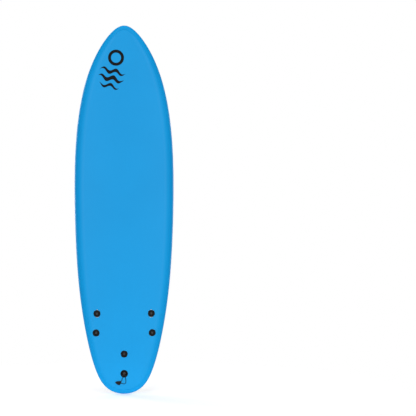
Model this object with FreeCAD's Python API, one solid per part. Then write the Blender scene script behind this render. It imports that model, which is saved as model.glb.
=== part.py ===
import FreeCAD, Part
import math
import os

# Soft-top surfboard with three bolt-through fins and a leash string.
# Millimetres.  +Z runs from tail to nose, +Y out of the deck, -Y out of the
# bottom, and +X to the left for a rider facing the nose.  X = 0 is the centre
# plane, Y = 0 the small flat of the belly, Z = 0 half way from tail to nose.
# A "station" is a distance from the tail along the board.

V = FreeCAD.Vector
ORIGIN, X_AXIS, Y_AXIS, Z_AXIS = V(0, 0, 0), V(1, 0, 0), V(0, 1, 0), V(0, 0, 1)

# ---------------------------------------------------------------- board shape
LENGTH = 2134.0
# Three tables over the same cosine-spaced stations, tail first:
# half width, rise of the bottom above the belly, and thickness.
HALF_WIDTH = [
    0.0, 34.10, 66.20, 94.20, 118.30, 138.95, 156.50, 172.30, 186.96, 200.91,
    214.04, 226.50, 238.20, 248.92, 258.41, 266.48, 273.09, 278.33, 282.38, 285.43,
    287.59, 288.83, 289.00, 287.84, 285.05, 280.31, 273.37, 264.05, 252.23, 237.86,
    220.99, 201.77, 180.51, 157.67, 133.87, 109.79, 86.07, 63.18, 41.32, 20.39, 0.0]
RISE = [
    55.81, 55.23, 53.54, 50.92, 47.59, 43.73, 39.44, 34.79, 29.84, 24.73,
    19.71, 15.06, 11.08, 7.93, 5.60, 3.95, 2.75, 1.81, 1.01, 0.37,
    0.0, 0.02, 0.51, 1.52, 3.03, 5.07, 7.73, 11.17, 15.62, 21.29,
    28.32, 36.72, 46.36, 56.97, 68.13, 79.30, 89.86, 99.09, 106.31, 110.92, 112.51]
THICKNESS = [
    35.55, 36.07, 37.59, 40.00, 43.11, 46.76, 50.76, 54.98, 59.27, 63.47,
    67.43, 70.99, 74.03, 76.49, 78.39, 79.85, 81.03, 82.05, 83.00, 83.83,
    84.45, 84.70, 84.45, 83.68, 82.46, 80.94, 79.30, 77.66, 76.02, 74.22,
    72.02, 69.16, 65.44, 60.82, 55.45, 49.67, 43.94, 38.79, 34.71, 32.09, 31.19]
SPANS = len(HALF_WIDTH) - 1
BODY_LENGTHS = 10          # faces along the body's skin
OUTLINE_EDGES = 28         # edges round the plan outline
OUTLINE_SPANS = 72         # cosine spans along each side of the plan outline
OUTLINE_MIN_X = 4.0        # outline points closer to the centre plane are left out
BELLY_TRIM = 0.6           # depth taken off the belly by the flat
TIP_ROUND = 17.0           # roll of the nose and tail ends, seen from the side
APEX_SHARE = 0.46          # height of the widest line, as a share of the thickness
RAIL_TOP_REACH = 58.0      # how far in from the edge the deck starts to roll
RAIL_LOW_REACH = 16.0      # the same for the bottom
DECK_DOME = 4.0            # crown of the deck at the widest station

# --------------------------------------------------------------- board layers
SKIN = 5.0                 # deck skin and rail band
LINER = 3.0                # foam sheet above the slick
SLICK = 1.2                # hard plastic bottom sheet
SKIN_SEAM_IN = 25.0        # deck skin / rail band seam, in from the outline
SLICK_EDGE_IN = 10.0       # edge of the bottom sheet, in from the outline
STRINGER_X = 70.0          # centre of each stringer
STRINGER_T = 4.0

# Insets of a body: deck, bottom, rail, ends
NO_INSETS = (0.0, 0.0, 0.0, 0.0)
CORE_INSETS = (SKIN, LINER + SLICK, SKIN, SKIN)
SLICK_INSETS = (0.0, SLICK, 0.0, 0.0)

# ----------------------------------------------------- deck plugs and fasteners
# Fin name, side of the board (+1 left, -1 right), front bolt x and station,
# rear bolt x and station
FIN_PLACES = [
    ("left", 1, 157.5, 467.0, 162.4, 355.0),
    ("right", -1, -157.5, 467.0, -162.4, 355.0),
    ("centre", 0, 0.0, 232.0, 0.0, 118.0)]

# Radii, then depths from the flange top to the recess floor and the underside
DECK_PLUG = dict(flange_r=20.5, body_r=13.0, recess_r=9.6, recess=10.5, depth=14.0)
LEASH_CUP = dict(flange_r=22.0, body_r=20.4, recess_r=18.6, recess=20.0, depth=24.0)
PLUG_FLANGE = 3.0
PLUG_PROUD = 0.6           # stands above the deck skin
PLUG_CHAMFER = 0.7
FLANGE_FIT = 0.1           # radial gap round a plug's flange
BODY_FIT = 0.05            # radial gap round a plug's body
BAR_R = 2.0                # bar across the leash cup
BAR_L = 31.0
BAR_OFF = 12.2             # towards the tail from the cup's centre
BAR_DOWN = 5.0             # below the cup's top
BAR_FIT = 0.02
BAR_END_IN = 0.1           # bar ends, in from the cup's outer wall

SLEEVE_R = 9.4
SLEEVE_BORE_R = 7.6
SLEEVE_GAP = 0.1           # between a sleeve and the tilted pocket floor
BOLT_R = 4.0               # plain shank
BOLT_HOLE_R = 4.3
BOLT_CHAMFER = 0.7
HEAD_R = 6.5
HEAD_H = 8.0
HEAD_CHAMFER = 0.6
HEX_AF = 6.0
HEX_DEPTH = 4.5
WASHER_R = 8.4
WASHER_T = 1.6
INSERT_R = 5.8
INSERT_L = 16.0
INSERT_FIT = 0.05          # radial gap between bolt and insert
ENGAGE = 13.0              # bolt length inside the insert
WELL_DEPTH = 2.5           # hole in the post below the insert
WELL_FIT = 0.4             # radial gap round the bolt there

# ----------------------------------------------------------------------- fins
POST_R = 7.5
POST_MAX = 28.0
POST_CLEAR = 3.0           # least gap from a post to the plug above it
POST_ROOT = 1.5            # post length sunk in the flange
POST_HOLE_FIT = 0.3        # radial gap in the gasket
BASE_L = 160.0             # fin base flange
BASE_W = 38.0
BASE_CORNER = 13.0
BASE_T = 4.0
BASE_AHEAD = 18.6          # flange front, ahead of the front bolt
BASE_FILLET = 1.6
BASE_RECESS = 2.4          # pocket in the bottom
BASE_GAP = 0.35            # pocket round the flange
GASKET = 1.4
GASKET_IN = 0.5            # gasket outline, in from the flange
BASE_TOP = BASE_RECESS - GASKET    # board side of the flange, above the bottom line

SIDE_FOIL_INNER = 0.35     # share of the half thickness on a side fin's inner face
FIN_T_ROOT = 9.6
FIN_T_TIP = 4.6
FIN_T_MAX_SHARE = 0.2      # thickness never exceeds this share of the chord
FIN_CANT = 5.5
FIN_ROOT_RISE = 5.0        # root above the bottom line, before it is trimmed
FIN_ROOT_COVER = 1.0       # flange left above the trimmed root
# Fin edges: depth below the root, distance aft of the flange's front
FIN_LEAD = [
    (0.0, -0.5), (10.2, 1.5), (20.6, 4.4), (31.2, 9.3), (43.9, 18.1), (57.2, 27.2),
    (70.6, 38.1), (82.7, 48.9), (93.3, 58.4), (103.8, 69.7), (112.3, 79.3),
    (120.6, 90.3), (127.1, 100.7), (132.2, 110.8), (136.8, 123.0), (139.8, 136.0),
    (141.2, 149.0)]
FIN_TRAIL = [
    (0.0, 131.8), (6.5, 127.9), (13.4, 124.6), (21.3, 123.0), (28.5, 122.4),
    (35.4, 123.1), (42.0, 124.9), (50.1, 129.0), (58.4, 134.0), (65.3, 140.1),
    (72.8, 147.3), (80.4, 155.1), (87.7, 163.2), (95.2, 172.2), (102.6, 181.2),
    (109.4, 187.8), (115.6, 191.2), (122.0, 191.0), (128.2, 187.4),
    (133.4, 180.8), (137.7, 171.0), (140.3, 160.0), (141.2, 149.0)]
FIN_DEPTH = FIN_LEAD[-1][0]

# ---------------------------------------------------------------------- leash
CORD_R = 1.6
CORD_OVER_RIM = 0.7        # gap under a strand lying over the cup's rim
CORD_OVER_DECK = 0.5       # gap under a strand lying on the deck
CORD_BAR_GAP = 0.15
TAG_T = 4.0
TAG_FILLET = 1.2
TAG_ABOVE_CORD = 0.9       # tag's mid height above the strands on the deck
# Tag outline: x, station
TAG_OUTLINE = [
    (17.2, 72.0), (20.0, 76.0), (24.5, 75.8), (50.2, 69.8), (52.2, 67.0),
    (49.8, 64.4), (31.0, 53.2), (26.8, 53.4), (19.0, 64.0)]


# -------------------------------------------------------------------- helpers
def station_z(station):
    return station - LENGTH / 2.0


def box(x0, x1, y0, y1, z0, z1):
    return Part.makeBox(x1 - x0, y1 - y0, z1 - z0, V(x0, y0, z0))


def full_length_box(x0, x1, y0, y1):
    """Box that runs past both ends of the board."""
    return box(x0, x1, y0, y1, -1200, 1200)


def largest(shape):
    """The largest solid of a result, which drops stray slivers."""
    return max(shape.Solids, key=lambda solid: solid.Volume)


def by_height(shape):
    return sorted(shape.Solids, key=lambda solid: solid.CenterOfMass.y)


def outward(shape):
    """Turn an inside-out solid the right way."""
    if shape.Volume < 0:
        shape.reverse()
    return shape


def union(shapes):
    result = shapes[0]
    for shape in shapes[1:]:
        result = result.fuse(shape)
    return result


def grid_surface(rows):
    """Clamped cubic surface on a grid of poles; u runs from row to row."""
    def knots(count):
        spans = count - 3
        return [float(i) for i in range(spans + 1)], [4] + [1] * (spans - 1) + [4]

    u_knots, u_mults = knots(len(rows))
    v_knots, v_mults = knots(len(rows[0]))
    surface = Part.BSplineSurface()
    surface.buildFromPolesMultsKnots(rows, u_mults, v_mults, u_knots, v_knots,
                                     False, False, 3, 3)
    return surface


# ------------------------------------------------------------------ board body
def cubic(table, theta):
    """Cubic through equally spaced values; theta runs 0..pi, tail to nose."""
    spans = len(table) - 1
    place = theta / math.pi * spans
    i = min(int(place), spans - 1)
    t = place - i
    before, start, end, after = [table[min(max(i + k, 0), spans)] for k in (-1, 0, 1, 2)]
    if i == 0:
        before = 2 * table[0] - table[1]
    if i == spans - 1:
        after = 2 * table[-1] - table[-2]
    return 0.5 * (2 * start + (end - before) * t
                  + (2 * before - 5 * start + 4 * end - after) * t * t
                  + (-before + 3 * start - 3 * end + after) * t * t * t)


def theta_of(station, end_in=0.0):
    span = LENGTH - 2 * end_in
    return math.acos(max(-1.0, min(1.0, 1.0 - 2.0 * (station - end_in) / span)))


def station_of(theta, end_in=0.0):
    return end_in + (LENGTH - 2 * end_in) * (1 - math.cos(theta)) / 2.0


def section(station, insets):
    """Low edge, high edge, half width and height of the widest line."""
    deck_in, low_in, side_in, end_in = insets
    theta = theta_of(station)
    # the side inset is full along the body and fades where the inner end closes
    end_width = cubic(HALF_WIDTH, theta_of(station, end_in))
    width = min(end_width, max(cubic(HALF_WIDTH, theta) - side_in, end_width * 0.9))
    bottom = cubic(RISE, theta) - BELLY_TRIM
    low = bottom + low_in
    high = bottom + cubic(THICKNESS, theta) - deck_in
    apex = low + APEX_SHARE * (high - low)
    from_end = min(station, LENGTH - station) - end_in
    tip = TIP_ROUND - end_in
    if from_end < tip:
        share = math.sqrt(max(0.0, 1.0 - ((tip - from_end) / tip) ** 2))
        low = apex - (apex - low) * share
        high = apex + (high - apex) * share
    return low, high, width, apex


def deck_form(high, width, apex):
    """Reach of the rail's roll, half width of the deck inside it, and its crown."""
    reach = min(RAIL_TOP_REACH, 0.52 * width)
    dome = min(DECK_DOME * (width / max(HALF_WIDTH)) ** 2, 0.2 * (high - apex))
    return reach, width - reach, dome


def ring(station, insets):
    """Points round a cross-section, from a seam line on the left of the deck,
    round the left rail, the bottom and the right rail, and back to the seam."""
    low, high, width, apex = section(station, insets)
    reach, flat, dome = deck_form(high, width, apex)
    low_reach = min(RAIL_LOW_REACH + 0.25 * insets[2], 0.4 * width)
    bottom_flat = width - low_reach
    slope = 2 * dome / flat * reach
    seam = 0.35 * width
    seam_points, top_points, low_points, bottom_spans, deck_points = 8, 12, 9, 18, 20

    def deck(x):
        return x, high - dome * (x / flat) ** 2

    def rail_top(side, i):
        # quarter ellipse with the crown's slope worked in at its start
        a = math.pi / 2 * i / top_points
        y = (apex + (high - dome - apex) * math.cos(a)
             - slope * math.sin(a) * math.cos(a) ** 2)
        return side * (flat + reach * math.sin(a)), y

    def rail_low(side, i):
        a = math.pi / 2 * i / low_points
        return side * (bottom_flat + low_reach * math.cos(a)), apex - (apex - low) * math.sin(a)

    points = [deck(seam + (flat - seam) * i / seam_points) for i in range(seam_points)]
    points += [rail_top(1, i) for i in range(top_points)]
    points += [rail_low(1, i) for i in range(low_points)]
    points += [(bottom_flat * (1 - 2.0 * i / bottom_spans), low)
               for i in range(bottom_spans + 1)]
    points += [rail_low(-1, i) for i in reversed(range(low_points))]
    points += [rail_top(-1, i) for i in reversed(range(top_points))]
    points += [deck(-flat + (seam + flat) * i / deck_points)
               for i in range(1, deck_points + 1)]
    return [V(x, y, station_z(station)) for x, y in points]


def body(insets):
    """Closed, smooth solid controlled by the cross-sections."""
    end_in = insets[3]
    # one extra ring close to each end
    steps = [1 / 3.0] + list(range(1, SPANS)) + [SPANS - 1 / 3.0]
    rings = [ring(station_of(math.pi * step / SPANS, end_in), insets) for step in steps]

    def end_row(station):
        apex = section(station, insets)[3]
        return [V(0, apex, station_z(station))] * len(rings[0])

    surface = grid_surface([end_row(end_in)] + rings + [end_row(LENGTH - end_in)])
    # the skin is made in lengths, so that no face runs from end to end
    u0, u1, v0, v1 = surface.bounds()
    cuts = [float(round(u1 * i / BODY_LENGTHS)) for i in range(BODY_LENGTHS + 1)]
    faces = []
    for start, end in zip(cuts, cuts[1:]):
        part = surface.copy()
        part.segment(start, end, v0, v1)
        faces.append(part.toShape())
    shell = Part.Shell(faces)
    shell.sewShape()
    return outward(Part.Solid(Part.Shell(shell.Faces)))


def outline_prism(inset):
    """Upright prism on the plan outline, moved in by a set distance."""
    y0, y1 = -60, 260
    step = 1e-3
    points = [(0.0, inset)]
    for j in range(1, OUTLINE_SPANS):
        theta = math.pi * j / OUTLINE_SPANS
        # normal to the outline, from a small step each way
        normal_x = station_of(theta + step) - station_of(theta - step)
        normal_s = cubic(HALF_WIDTH, theta - step) - cubic(HALF_WIDTH, theta + step)
        size = math.hypot(normal_x, normal_s)
        x = cubic(HALF_WIDTH, theta) - inset * normal_x / size
        if x > OUTLINE_MIN_X:
            points.append((x, station_of(theta) - inset * normal_s / size))
    points.append((0.0, LENGTH - inset))
    left = [V(x, y0, station_z(s)) for x, s in points]
    right = [V(-x, y0, station_z(s)) for x, s in reversed(points)]
    curve = Part.BSplineCurve()
    curve.interpolate(left + right[1:-1], PeriodicFlag=True)
    first, last = curve.FirstParameter, curve.LastParameter
    cuts = [first + (last - first) * i / OUTLINE_EDGES for i in range(OUTLINE_EDGES + 1)]
    edges = [Part.Edge(curve, a, b) for a, b in zip(cuts, cuts[1:])]
    return Part.Face(Part.Wire(edges)).extrude(V(0, y1 - y0, 0))


def board_layers(core):
    """Deck skin, rail band, bottom liner and bottom slick, before the openings."""
    outer = largest(body(NO_INSETS).common(full_length_box(-400, 400, 0, 400)))
    slick_line = body(SLICK_INSETS)
    deck_skin = by_height(outer.common(outline_prism(SKIN_SEAM_IN)).cut(core))[-1]
    bottom = by_height(outer.common(outline_prism(SLICK_EDGE_IN)).cut(core))[0]
    rail_band = largest(outer.cut(deck_skin))
    rail_band = largest(rail_band.cut(bottom))
    rail_band = largest(rail_band.cut(core))
    return {"deck_skin": deck_skin,
            "rail_band": rail_band,
            "bottom_liner": largest(bottom.common(slick_line)),
            "bottom_slick": largest(bottom.cut(slick_line))}


def core_pieces(core):
    """The core sliced into three foam strips and two stringers.  The stringers
    stop short of the narrow ends, where the middle strip closes the core."""
    inner, outer = STRINGER_X - STRINGER_T / 2.0, STRINGER_X + STRINGER_T / 2.0
    slices = {"foam_core_left": (outer, 400),
              "foam_core_centre": (-inner, inner),
              "foam_core_right": (-400, -outer),
              "stringer_left": (inner, outer),
              "stringer_right": (-outer, -inner)}
    return {name: largest(core.common(full_length_box(x0, x1, -50, 300)))
            for name, (x0, x1) in slices.items()}


# ------------------------------------------------------------------- bolt lines
def deck_y(x, station):
    """Height of the deck, inside the roll of the rails."""
    low, high, width, apex = section(station, NO_INSETS)
    reach, flat, dome = deck_form(high, width, apex)
    return high - dome * (x / flat) ** 2


def low_y(station):
    return section(station, NO_INSETS)[0]


class BoltLine:
    """Levels along one upright bolt, from the pocket's floor to the deck."""

    def __init__(self, mount, end, x, station):
        self.name = mount.name + "_" + end
        self.fitting = LEASH_CUP if self.name == "centre_rear" else DECK_PLUG
        self.x, self.z = x, station_z(station)
        self.top = deck_y(x, station) + PLUG_PROUD
        self.ledge = self.top - self.fitting["recess"]
        self.under = self.top - self.fitting["depth"]
        self.seat = self.ledge + WASHER_T
        self.floor = mount.line_y(station) + BASE_RECESS
        self.sleeve_low = self.floor + SLEEVE_R * abs(mount.slope) + SLEEVE_GAP
        self.post_top = min(self.floor + POST_MAX, self.under - POST_CLEAR)
        self.insert_low = self.post_top - INSERT_L

    def cylinder(self, radius, y0, y1):
        return Part.makeCylinder(radius, y1 - y0, V(self.x, y0, self.z), Y_AXIS)

    def chamfered(self, radius, y0, y1, chamfer, rim_y):
        """Cylinder with a chamfer on its rim at rim_y."""
        solid = self.cylinder(radius, y0, y1)
        rim = [e for e in solid.Edges if abs(e.CenterOfMass.y - rim_y) < 0.1]
        return solid.makeChamfer(chamfer, rim)


def deck_plug(bolt):
    size = bolt.fitting
    flange_low = bolt.top - PLUG_FLANGE
    plug = bolt.chamfered(size["flange_r"], flange_low, bolt.top, PLUG_CHAMFER, bolt.top)
    plug = plug.fuse(bolt.cylinder(size["body_r"], bolt.under, flange_low)).removeSplitter()
    plug = plug.cut(bolt.cylinder(size["recess_r"], bolt.ledge, bolt.top + 1))
    return plug.cut(bolt.cylinder(BOLT_HOLE_R, bolt.under - 1, bolt.top))


def bar_cylinder(cup, radius):
    start = V(-BAR_L / 2, cup.top - BAR_DOWN, cup.z - BAR_OFF)
    return Part.makeCylinder(radius, BAR_L, start, X_AXIS)


def leash_cup(cup):
    return deck_plug(cup).cut(bar_cylinder(cup, BAR_R + BAR_FIT))


def leash_bar(cup):
    """Bar trimmed to stay inside the cup's outer wall."""
    wall = cup.cylinder(cup.fitting["body_r"] - BAR_END_IN, cup.under - 1, cup.top)
    return largest(bar_cylinder(cup, BAR_R).common(wall))


def sleeve(bolt):
    return bolt.cylinder(SLEEVE_R, bolt.sleeve_low, bolt.under).cut(
        bolt.cylinder(SLEEVE_BORE_R, bolt.sleeve_low - 1, bolt.under + 1))


def washer(bolt):
    return bolt.cylinder(WASHER_R, bolt.ledge, bolt.seat).cut(
        bolt.cylinder(BOLT_HOLE_R, bolt.ledge - 1, bolt.top))


def insert(bolt):
    return bolt.cylinder(INSERT_R, bolt.insert_low, bolt.post_top).cut(
        bolt.cylinder(BOLT_R + INSERT_FIT, bolt.insert_low - 1, bolt.post_top + 1))


def socket_bolt(bolt):
    tip = bolt.post_top - ENGAGE
    head_top = bolt.seat + HEAD_H
    head = bolt.chamfered(HEAD_R, bolt.seat, head_top, HEAD_CHAMFER, head_top)
    shank = bolt.chamfered(BOLT_R, tip, bolt.seat, BOLT_CHAMFER, tip)
    radius = HEX_AF / 2 / math.cos(math.radians(30))
    corners = []
    for i in range(7):
        a = math.radians(60 * i)
        corners.append(V(bolt.x + radius * math.cos(a), head_top - HEX_DEPTH,
                         bolt.z + radius * math.sin(a)))
    socket = Part.Face(Part.makePolygon(corners)).extrude(V(0, HEX_DEPTH + 1, 0))
    return head.fuse(shank).removeSplitter().cut(socket)


# ------------------------------------------------------------------------ fins
def flange_face(gap):
    """Plan of the fin base: rounded corners at the front, z = 0, and a full
    round at the aft end; gap moves the whole outline out."""
    half = BASE_W / 2.0 + gap
    corner = BASE_CORNER + gap
    front = gap
    back = -BASE_L + BASE_W / 2.0
    mid = corner * (1 - math.sqrt(0.5))     # inset of a corner arc's mid point
    return Part.Face(Part.Wire([
        Part.makeLine(V(-half + corner, 0, front), V(half - corner, 0, front)),
        Part.Arc(V(half - corner, 0, front), V(half - mid, 0, front - mid),
                 V(half, 0, front - corner)).toShape(),
        Part.makeLine(V(half, 0, front - corner), V(half, 0, back)),
        Part.Arc(V(half, 0, back), V(0, 0, back - half), V(-half, 0, back)).toShape(),
        Part.makeLine(V(-half, 0, back), V(-half, 0, front - corner)),
        Part.Arc(V(-half, 0, front - corner), V(-half + mid, 0, front - mid),
                 V(-half + corner, 0, front)).toShape()]))


class FinMount:
    """Place of one fin on the bottom, with its two bolt lines."""

    def __init__(self, name, side, x_front, s_front, x_rear, s_rear):
        self.name, self.side = name, side
        run = s_front - s_rear
        toe = math.atan2(x_rear - x_front, run)
        self.toe = math.degrees(toe)
        # straight line under the flange, through the bottom at both bolts
        self.slope = (low_y(s_rear) - low_y(s_front)) / run
        self.tilt = math.degrees(math.atan(self.slope))
        # front end of the flange
        self.x = x_front - BASE_AHEAD * math.sin(toe)
        self.station = s_front + BASE_AHEAD * math.cos(toe)
        self.y = low_y(s_front) - BASE_AHEAD * self.slope
        self.bolts = [BoltLine(self, "front", x_front, s_front),
                      BoltLine(self, "rear", x_rear, s_rear)]

    def line_y(self, station):
        """Height of the straight bottom line under the flange."""
        return self.y + (self.station - station) * self.slope

    def place_level(self, shape, y):
        shape.rotate(ORIGIN, Y_AXIS, -self.toe)
        shape.translate(V(self.x, y, station_z(self.station)))
        return shape

    def place(self, shape):
        shape.rotate(ORIGIN, X_AXIS, self.tilt)
        return self.place_level(shape, self.y)

    def plate(self, gap, y0, y1):
        """Flange outline, grown by gap, between two heights off the bottom line."""
        prism = self.place_level(flange_face(gap), -40).extrude(V(0, 120, 0))
        return largest(prism.common(self.slab(y0, y1)))

    def slab(self, y0, y1):
        return self.place(box(-60, 60, y0, y1, -BASE_L - 60, 60))

    def pocket(self):
        return self.plate(BASE_GAP, -30, BASE_RECESS)


def smooth_edge(table):
    """Fin edge read back from a curve, in the table's own columns."""
    curve = Part.BSplineCurve()
    curve.interpolate([V(aft, depth, 0) for depth, aft in table])
    count = 400
    first, last = curve.FirstParameter, curve.LastParameter
    points = [curve.value(first + (last - first) * i / count) for i in range(count + 1)]
    return [(point.y, point.x) for point in points]


def aft_at(edge, depth):
    for (depth0, aft0), (depth1, aft1) in zip(edge, edge[1:]):
        if depth0 <= depth <= depth1:
            return aft0 + (aft1 - aft0) * (depth - depth0) / (depth1 - depth0)
    return edge[-1][1]


def foil(inner_share):
    """Closed foil outline from the trailing edge round the nose and back, as
    chord share and thickness share.  An inner_share of 1 is symmetric, and a
    small one gives a nearly flat inner face."""
    spans = 14
    trailing = (1.004, 0.0)
    half = []
    for i in range(spans + 1):
        u = (1 - math.cos(math.pi * i / spans)) / 2.0
        # four-digit foil thickness, thickened a little towards the trailing edge
        y = 5 * (0.2969 * math.sqrt(u) - 0.1260 * u - 0.3516 * u * u
                 + 0.2843 * u ** 3 - 0.1015 * u ** 4)
        half.append((u, y + 0.05 * u ** 4))
    outer = [(u, y * (2 - inner_share)) for u, y in reversed(half)]
    inner = [(u, -y * inner_share) for u, y in half[1:]]
    return [trailing] + outer + inner + [trailing]


def blade(inner_share, outer_side):
    """Raked fin blade in its own axes: x across, -y away from the board, -z aft.
    The root runs above y = 0 so that it joins the base flange."""
    lead, trail = smooth_edge(FIN_LEAD), smooth_edge(FIN_TRAIL)
    loop = foil(inner_share)
    spans = 26
    depths = [FIN_DEPTH * math.sin(i / spans * math.pi / 2) for i in range(spans)]
    rows = []
    for depth, y in [(0.0, FIN_ROOT_RISE)] + [(depth, -depth) for depth in depths]:
        start = aft_at(lead, depth)
        chord = aft_at(trail, depth) - start
        thickness = min(FIN_T_ROOT + (FIN_T_TIP - FIN_T_ROOT) * depth / FIN_DEPTH,
                        FIN_T_MAX_SHARE * chord)
        rows.append([V(outer_side * q * thickness, y, -(start + u * chord)) for u, q in loop])
    rows.append([V(0, -FIN_DEPTH, -aft_at(lead, FIN_DEPTH))] * len(loop))
    skin = grid_surface(rows).toShape()
    root = [e for e in skin.Edges
            if e.BoundBox.YMin > FIN_ROOT_RISE - 0.1 and e.Length > 20]
    cap = Part.Face(Part.Wire(root))
    return outward(Part.Solid(Part.makeShell([skin, cap])))


def fin(mount):
    """Base flange, blade and two bolt posts."""
    solid = mount.plate(0.0, BASE_TOP - BASE_T, BASE_TOP)
    lower_edges = [e for e in solid.Edges if e.CenterOfMass.y < solid.CenterOfMass.y - 1.2]
    # guards the fillet: the flange stays sharp if it cannot be built
    try:
        solid = solid.makeFillet(BASE_FILLET, lower_edges)
    except Exception:
        pass
    vane = blade(SIDE_FOIL_INNER if mount.side else 1.0, mount.side or 1)
    vane.rotate(ORIGIN, Z_AXIS, mount.side * FIN_CANT)
    # the blade's root stays buried in the flange
    vane = largest(mount.place(vane).common(mount.slab(-400, BASE_TOP - FIN_ROOT_COVER)))
    solid = solid.fuse(vane)
    for bolt in mount.bolts:
        post_low = bolt.floor - GASKET - POST_ROOT
        solid = solid.fuse(bolt.cylinder(POST_R, post_low, bolt.post_top))
    solid = solid.removeSplitter()
    for bolt in mount.bolts:
        solid = solid.cut(bolt.cylinder(INSERT_R, bolt.insert_low, bolt.post_top + 1))
        solid = solid.cut(bolt.cylinder(BOLT_R + WELL_FIT, bolt.insert_low - WELL_DEPTH,
                                        bolt.post_top))
    return largest(solid)


def fin_gasket(mount):
    gasket = mount.plate(-GASKET_IN, BASE_TOP, BASE_RECESS)
    for bolt in mount.bolts:
        gasket = gasket.cut(bolt.cylinder(POST_R + POST_HOLE_FIT,
                                          bolt.floor - 20, bolt.floor + 20))
    return largest(gasket)


# ----------------------------------------------------------------------- leash
def leash_string(cup):
    """Cord from the tag to the cup, under the bar, back out and round to the tag."""
    bar_y, bar_z = cup.top - BAR_DOWN, cup.z - BAR_OFF
    wrap = BAR_R + CORD_R + CORD_BAR_GAP
    rim = cup.top + CORD_R + CORD_OVER_RIM
    deck = strand_y(cup)
    tag = deck + TAG_ABOVE_CORD

    def on_board(points):
        return [V(x, y, station_z(station)) for x, station, y in points]

    # out from the tag: x, station, height
    path = on_board([(24.0, 69.0, tag), (17.5, 74.0, deck + 0.3), (12.4, 84.0, deck),
                     (8.9, 95.5, rim - 0.2)])
    # over the rim and down on the tail side of the bar
    path += [V(6.3, rim, bar_z - 9.0), V(4.3, rim - 0.9, bar_z - 5.2),
             V(3.1, bar_y + 3.2, bar_z - wrap - 0.1)]
    # half a turn under the bar
    for i in range(7):
        a = math.pi * i / 6
        path.append(V(2.6 - 5.2 * i / 6.0, bar_y - wrap * math.sin(a),
                      bar_z - wrap * math.cos(a)))
    # up on the nose side of the bar and back over the rim
    path += [V(-3.1, bar_y + 3.4, bar_z + wrap - 0.1), V(-4.2, rim - 0.9, bar_z + 1.4),
             V(-5.6, rim, bar_z - 4.0), V(-7.2, rim - 0.1, bar_z - 12.0)]
    # round on the deck to the tag
    path += on_board([(-9.0, 84.0, deck + 0.1), (-9.9, 71.5, deck), (-6.8, 62.5, deck),
                      (-0.5, 59.2, deck), (7.0, 60.0, deck), (14.5, 62.6, deck + 0.3),
                      (24.0, 65.0, tag)])
    spine = Part.BSplineCurve()
    spine.interpolate(path)
    first = spine.FirstParameter
    circle = Part.makeCircle(CORD_R, spine.value(first), spine.tangent(first)[0])
    wire = Part.Wire([spine.toShape()])
    return outward(wire.makePipeShell([Part.Wire([circle])], True, True))


def strand_y(cup):
    """Centre height of a strand lying on the deck."""
    return cup.top - PLUG_PROUD + CORD_R + CORD_OVER_DECK


def leash_tag(cup, cord):
    low = strand_y(cup) + TAG_ABOVE_CORD - TAG_T / 2
    curve = Part.BSplineCurve()
    curve.interpolate([V(x, low, station_z(s)) for x, s in TAG_OUTLINE], PeriodicFlag=True)
    tag = Part.Face(Part.Wire([curve.toShape()])).extrude(V(0, TAG_T, 0))
    # guards the fillet: the tag keeps sharp rims if it cannot be built
    try:
        tag = tag.makeFillet(TAG_FILLET, [e for e in tag.Edges if e.Length > 60])
    except Exception:
        pass
    return largest(tag.cut(cord))


# ------------------------------------------------------- openings in the board
def cut_openings(pieces, mounts):
    """Plug, sleeve and fin base openings through the deck, core and bottom."""
    deck_cutters, core_cutters, low_cutters = [], [], []
    for mount in mounts:
        pocket = mount.pocket()
        core_cutters.append(pocket)
        low_cutters.append(pocket)
        for bolt in mount.bolts:
            flange_r = bolt.fitting["flange_r"] + FLANGE_FIT
            body_r = bolt.fitting["body_r"] + BODY_FIT
            deck_cutters += [
                bolt.cylinder(flange_r, bolt.top - PLUG_FLANGE, bolt.top + 20),
                bolt.cylinder(body_r, bolt.under, bolt.top)]
            core_cutters += [
                bolt.cylinder(body_r, bolt.under, bolt.top),
                bolt.cylinder(SLEEVE_R, bolt.floor - 8, bolt.under + 1)]
            low_cutters.append(bolt.cylinder(SLEEVE_R, bolt.floor - 12, bolt.under))
    deck_cut, core_cut, low_cut = union(deck_cutters), union(core_cutters), union(low_cutters)
    pieces["deck_skin"] = largest(pieces["deck_skin"].cut(deck_cut))
    for name in ("bottom_slick", "bottom_liner"):
        pieces[name] = largest(pieces[name].cut(low_cut))
    for name in ("foam_core_left", "foam_core_right", "foam_core_centre"):
        pieces[name] = largest(pieces[name].cut(core_cut).cut(deck_cut))


# -------------------------------------------------------------- build and write
core = body(CORE_INSETS)
pieces = board_layers(core)
pieces.update(core_pieces(core))

mounts = [FinMount(*place) for place in FIN_PLACES]
bolts = [bolt for mount in mounts for bolt in mount.bolts]
cut_openings(pieces, mounts)

for mount in mounts:
    pieces[mount.name + "_fin"] = fin(mount)
    pieces[mount.name + "_fin_gasket"] = fin_gasket(mount)
    pieces[mount.name + "_fin_sleeves"] = Part.makeCompound([sleeve(b) for b in mount.bolts])
    pieces[mount.name + "_fin_inserts"] = Part.makeCompound([insert(b) for b in mount.bolts])
for bolt in bolts:
    pieces[bolt.name + "_bolt"] = socket_bolt(bolt)
    if bolt.fitting is DECK_PLUG:
        pieces[bolt.name + "_deck_plug"] = deck_plug(bolt)
pieces["bolt_washers"] = Part.makeCompound([washer(bolt) for bolt in bolts])

cup = bolts[-1]            # the centre fin's rear bolt sits in the leash cup
pieces["leash_plug_cup"] = leash_cup(cup)
pieces["leash_bar"] = leash_bar(cup)
pieces["leash_string"] = leash_string(cup)
pieces["leash_tag"] = leash_tag(cup, pieces["leash_string"])

os.makedirs("parts", exist_ok=True)
for name, shape in pieces.items():
    shape.exportStep("parts/" + name + ".step")
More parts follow.
